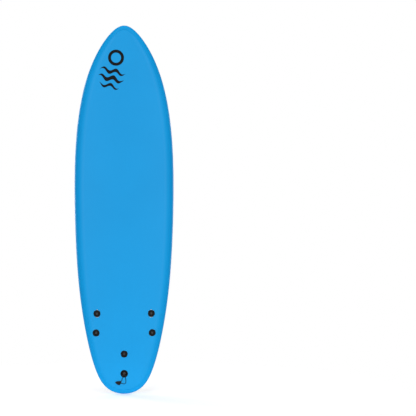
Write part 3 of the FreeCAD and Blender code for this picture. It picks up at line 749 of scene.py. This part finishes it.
def cut_strip(low, high, start, end):
    """Cut the band between two curves along(x) at the border and round the fin bases.
    Returns runs of (x, low, high) columns."""
    start, end = max(start, -border_half), min(end, border_half)
    if end - start < 0.5:
        return []

    def limits(x):
        return max(low(x), border_low(x)), min(high(x), border_high(x))

    def is_open(x):
        a, b = limits(x)
        return b - a > MIN_OPEN

    def parts(x):
        """The pieces of the column at x: whole, or aft and ahead of a fin base."""
        if not is_open(x):
            return {}
        a, b = limits(x)
        cover = fin_cover(x)
        if cover is None:
            return {"whole": (a, b)}
        aft, front = cover
        if b < aft:
            return {"aft": (a, b)}
        if a > front:
            return {"ahead": (a, b)}
        found = {}
        if aft - a > MIN_BESIDE:
            found["aft"] = (a, aft)
        if b - front > MIN_BESIDE:
            found["ahead"] = (front, b)
        return found

    xs = strip_columns(start, end)
    refined = xs[:1]
    for before, x in zip(xs, xs[1:]):
        if is_open(x) != is_open(before):
            # halve towards the place where the strip meets the border
            inner, outer = (x, before) if is_open(x) else (before, x)
            for _ in range(12):
                middle = (inner + outer) / 2
                if is_open(middle):
                    inner = middle
                else:
                    outer = middle
            refined.append(inner)
        refined.append(x)

    done = []
    runs = {"whole": [], "aft": [], "ahead": []}

    def flush(key):
        run = runs[key]
        if len(run) > 1 and run[-1][0] - run[0][0] > MIN_RUN:
            done.append(run)
        runs[key] = []

    for x in sorted(refined):
        found = parts(x)
        for key in runs:
            if key in found:
                runs[key].append((x, *found[key]))
            else:
                flush(key)
    for key in runs:
        flush(key)
    return done


def add_ribbon(verts, faces, columns):
    """Closed thin strip through (x, low, high) columns, laid on the curved bottom."""
    base, count = len(verts), len(columns)
    xs, low, high = (np.array(values) for values in zip(*columns))
    m = 1 + max(1, int(math.ceil(float((high - low).max()) / 8.0)))
    xs = np.repeat(xs, m)
    along = (low[:, None] + (high - low)[:, None] * np.linspace(0, 1, m)).ravel()
    ys = low_y(xs, along)
    for lift in (-0.10, 0.05):
        verts.extend(zip(xs.tolist(), (ys + lift).tolist(), to_z(along).tolist()))
    o = m * count
    for i in range(count - 1):
        for j in range(m - 1):
            a = base + i * m + j
            faces.append((a, a + 1, a + m + 1, a + m))
            faces.append((a + o, a + o + m, a + o + m + 1, a + o + 1))
        a = base + i * m
        e = a + m - 1
        faces.append((a, a + m, a + m + o, a + o))
        faces.append((e, e + o, e + m + o, e + m))
    for i in (0, count - 1):
        for j in range(m - 1):
            a = base + i * m + j
            faces.append((a, a + o, a + o + 1, a + 1))


def ink_ahead(k):
    """Reach of bar k's ink towards the nose, in bars."""
    return 0.330 + 0.066 * math.sin(k * 1.9) + 0.036 * math.sin(k * 0.83 + 1.0)


def ink_aft(k):
    """Reach of bar k's ink towards the tail, in bars."""
    return 0.330 + 0.060 * math.sin(k * 2.7 + 0.6) + 0.036 * math.sin(k * 1.21)


def bottom_print():
    verts, faces = [], []

    def strip(low, high, start, end):
        for run in cut_strip(low, high, start, end):
            add_ribbon(verts, faces, run)

    for k in range(-1, int(LENGTH / PITCH) + 3):
        strip(lambda x: bar_line(x, k - ink_aft(k)),
              lambda x: bar_line(x, k + ink_ahead(k)), -PRINT_REACH, PRINT_REACH)
        # the gap ahead of bar k; a plain one has only teeth
        plain = k % 7 in (2, 5)
        near = k + ink_ahead(k) - JOIN
        far = k + 1 - ink_aft(k + 1) + JOIN

        def gap_low(x):
            return bar_line(x, near)

        def gap_high(x):
            return bar_line(x, far)

        for i in range(-5, 6):
            centre = i * CELL + CELL_SHIFT
            gap = gap_high(centre) - gap_low(centre)
            if gap < 2.6:
                continue
            tall = gap * (0.42 if plain else 0.80)

            def tooth(x):
                return tall * max(0.0, 1 - abs(x - centre) / TOOTH_HALF)

            # small pointed teeth on one edge of the gap
            ends = (centre - TOOTH_HALF, centre + TOOTH_HALF)
            if k % 2:
                strip(gap_low, lambda x: gap_low(x) + tooth(x), *ends)
            else:
                strip(lambda x: gap_high(x) - tooth(x), gap_high, *ends)
            if plain:
                continue
            # an upright across the gap and a short dash in every wide cell
            strip(gap_low, gap_high, centre - UPRIGHT_HALF, centre + UPRIGHT_HALF)
            dash_x = centre + CELL / 2
            gap = gap_high(dash_x) - gap_low(dash_x)
            if gap > 6.5:
                line = (near + far) / 2
                half = min(DASH_HALF, gap * DASH_SHARE)
                strip(lambda x: bar_line(x, line) - half, lambda x: bar_line(x, line) + half,
                      centre + DASH[0], centre + DASH[1])
    new_mesh("bottom_print", verts, faces, mat_ink, smooth=False)


bottom_print()

# ------------------------------------------------------------------ mark on the deck
MARK_X, MARK_ALONG, MARK_TILT = 68.0, 1866.0, math.radians(-14.0)
RING_OUTER, RING_INNER, RING_UP, RING_POINTS = 46, 29, 86, 96
# half length and greatest thickness of each wave, from the top one down
MARK_WAVES = ((76, 21.0), (76, 25.0), (60, 17.0))
WAVE_TOP, WAVE_DROP, WAVE_HEIGHT, WAVE_LENGTH, WAVE_POINTS = 6, 43, 9.5, 72, 70


def mark_point(u, v):
    """Plan point of (u, v), where v runs noseward and u towards -X before the tilt."""
    x = MARK_X - (u * math.cos(MARK_TILT) - v * math.sin(MARK_TILT))
    along = MARK_ALONG + (u * math.sin(MARK_TILT) + v * math.cos(MARK_TILT))
    return x, along


def add_band(verts, faces, first, second, closed=False):
    """Closed thin band between two lines of (u, v) points, laid on the deck."""
    base, n = len(verts), len(first)
    for lift in (0.12, -0.3):
        for pair in zip(first, second):
            for u, v in pair:
                x, along = mark_point(u, v)
                verts.append((x, float(top_y(x, along)) + lift, along - LENGTH / 2))
    o = 2 * n
    for i in range(n if closed else n - 1):
        j = (i + 1) % n
        a, b, c, d = base + 2 * i, base + 2 * i + 1, base + 2 * j + 1, base + 2 * j
        faces += [(a, b, c, d), (a + o, d + o, c + o, b + o),
                  (a, d, d + o, a + o), (b, b + o, c + o, c)]
    if not closed:
        for i in (0, n - 1):
            a, b = base + 2 * i, base + 2 * i + 1
            faces.append((a, a + o, b + o, b))


def deck_mark():
    """A plain tilted ring over three waves."""
    verts, faces = [], []
    turns = [2 * math.pi * i / RING_POINTS for i in range(RING_POINTS)]
    outer, inner = ([(r * math.cos(a), RING_UP + r * math.sin(a)) for a in turns]
                    for r in (RING_OUTER, RING_INNER))
    add_band(verts, faces, outer, inner, closed=True)
    for row, (half, thick) in enumerate(MARK_WAVES):
        upper, lower = [], []
        for u in np.linspace(-half, half, WAVE_POINTS):
            swing = math.sin(u / WAVE_LENGTH * math.pi * 2.0 + row * 0.5)
            v = WAVE_TOP - WAVE_DROP * row + WAVE_HEIGHT * swing
            deep = thick * max(0.06, 1 - (abs(u) / half) ** 2.2)
            upper.append((u, v + deep / 2))
            lower.append((u, v - deep / 2))
        add_band(verts, faces, upper, lower)
    new_mesh("deck_mark", verts, faces, mat_deck_ink, smooth=False)


deck_mark()


# ------------------------------------------------------------------ stage, in metres
def floor_material():
    """White, fading out towards the rim, and clear from below."""
    m = Material("floor_mat")
    length = m.node("ShaderNodeVectorMath", operation="LENGTH")
    m.feed(length.inputs[0], m.coords)
    fade = m.span(length.outputs["Value"], to=(1.0, 0.0), over=(0.35, 1.7))
    geometry = m.node("ShaderNodeNewGeometry")
    front = m.math("SUBTRACT", 1.0, geometry.outputs["Backfacing"])
    m.put("Base Color", m.mix(m.noise(scale=40.0, detail=2.0),
                              low=(0.90, 0.90, 0.90), high=(0.93, 0.93, 0.93)))
    m.put("Roughness", 0.7)
    m.put("Specular IOR Level", 0.1)
    m.put("Emission Color", (1.0, 1.0, 1.0))
    m.put("Emission Strength", 0.28)
    m.put("Alpha", m.math("MULTIPLY", fade, front))
    return m.material


def floor(rings=24, segments=96, radius=3.2, gap=0.0015):
    """A disc just under the tail."""
    verts, faces = [(0, 0, 0)], []
    for ring in range(1, rings + 1):
        for i in range(segments):
            a = 2 * math.pi * i / segments
            verts.append((radius * ring / rings * math.cos(a),
                          radius * ring / rings * math.sin(a), 0))
    for i in range(segments):
        faces.append((0, 1 + i, 1 + (i + 1) % segments))
    for ring in range(rings - 1):
        for i in range(segments):
            a = 1 + ring * segments + i
            b = 1 + ring * segments + (i + 1) % segments
            faces.append((a, a + segments, b + segments, b))
    mesh = bpy.data.meshes.new("floor")
    mesh.from_pydata(verts, [], faces)
    obj = bpy.data.objects.new("floor", mesh)
    obj.location = (0, 0.04, -LENGTH / 2 * MM - gap)
    bpy.context.scene.collection.objects.link(obj)
    mesh.materials.append(floor_material())


def studio_world():
    """Pure white to the camera, a dim cool fill to everything else."""
    world = bpy.data.worlds.new("studio")
    bpy.context.scene.world = world
    world.use_nodes = True
    tree = world.node_tree
    tree.nodes.clear()
    output = tree.nodes.new("ShaderNodeOutputWorld")
    path = tree.nodes.new("ShaderNodeLightPath")
    mix = tree.nodes.new("ShaderNodeMixShader")
    tree.links.new(path.outputs["Is Camera Ray"], mix.inputs["Fac"])
    # mix input, colour, strength: seen by the camera, then the fill
    for i, color, strength in ((2, (1, 1, 1, 1), 1.0), (1, (0.93, 0.96, 1.0, 1), 0.34)):
        background = tree.nodes.new("ShaderNodeBackground")
        background.inputs["Color"].default_value = color
        background.inputs["Strength"].default_value = strength
        tree.links.new(background.outputs[0], mix.inputs[i])
    tree.links.new(mix.outputs[0], output.inputs["Surface"])


# Soft boxes facing the deck (+Y) and the bottom (-Y), one above, and one to either
# side on the bottom's side: name, location, target, width, height, watts
LIGHTS = (
    ("deck_key_a", (1.45, 4.3, 0.3), (0, 0, 0), 0.9, 3.2, 73),
    ("deck_key_b", (-1.45, 4.3, 0.3), (0, 0, 0), 0.9, 3.2, 73),
    ("top_soft", (0.0, 0.9, 3.1), (0, 0, 0.4), 1.6, 1.6, 26),
    ("bottom_key", (1.3, -4.0, 1.0), (0, 0, 0), 1.6, 3.2, 26),
    ("bottom_fill", (-1.9, -3.8, 0.2), (0, 0, 0), 1.2, 3.0, 17),
    ("side_left", (3.6, -3.3, 0.5), (0, 0, 0), 1.2, 2.6, 150),
    ("side_right", (-3.6, -3.3, 0.5), (0, 0, 0), 1.2, 2.6, 100))


def aim(obj, direction):
    obj.rotation_mode = "QUATERNION"
    obj.rotation_quaternion = Vector(direction).to_track_quat("-Z", "Y")


def add_light(name, location, target, width, height, watts):
    light = bpy.data.lights.new(name, "AREA")
    light.shape = "RECTANGLE"
    light.size, light.size_y = width, height
    light.energy = watts
    obj = bpy.data.objects.new(name, light)
    obj.location = location
    aim(obj, Vector(target) - Vector(location))
    bpy.context.scene.collection.objects.link(obj)


# the camera faces the deck, turned a little so that the board stands left of the middle
DECK_DISTANCE, DECK_Y = 8.062, 0.09
CAMERA_HEIGHT = 0.0130
YAW = math.radians(3.459)


def add_camera():
    camera = bpy.data.cameras.new("camera")
    obj = bpy.data.objects.new("camera", camera)
    bpy.context.scene.collection.objects.link(obj)
    camera.sensor_width = 36.0
    camera.lens = 120.0
    camera.clip_start, camera.clip_end = 0.05, 60.0
    obj.location = (0.0, DECK_DISTANCE + DECK_Y, CAMERA_HEIGHT)
    aim(obj, (-math.sin(YAW), -math.cos(YAW), 0))
    bpy.context.scene.camera = obj


floor()
studio_world()
for light_row in LIGHTS:
    add_light(*light_row)
add_camera()

view = bpy.context.scene.view_settings
view.view_transform = "Standard"
view.look = "None"
view.exposure = 0.0
view.gamma = 1.0
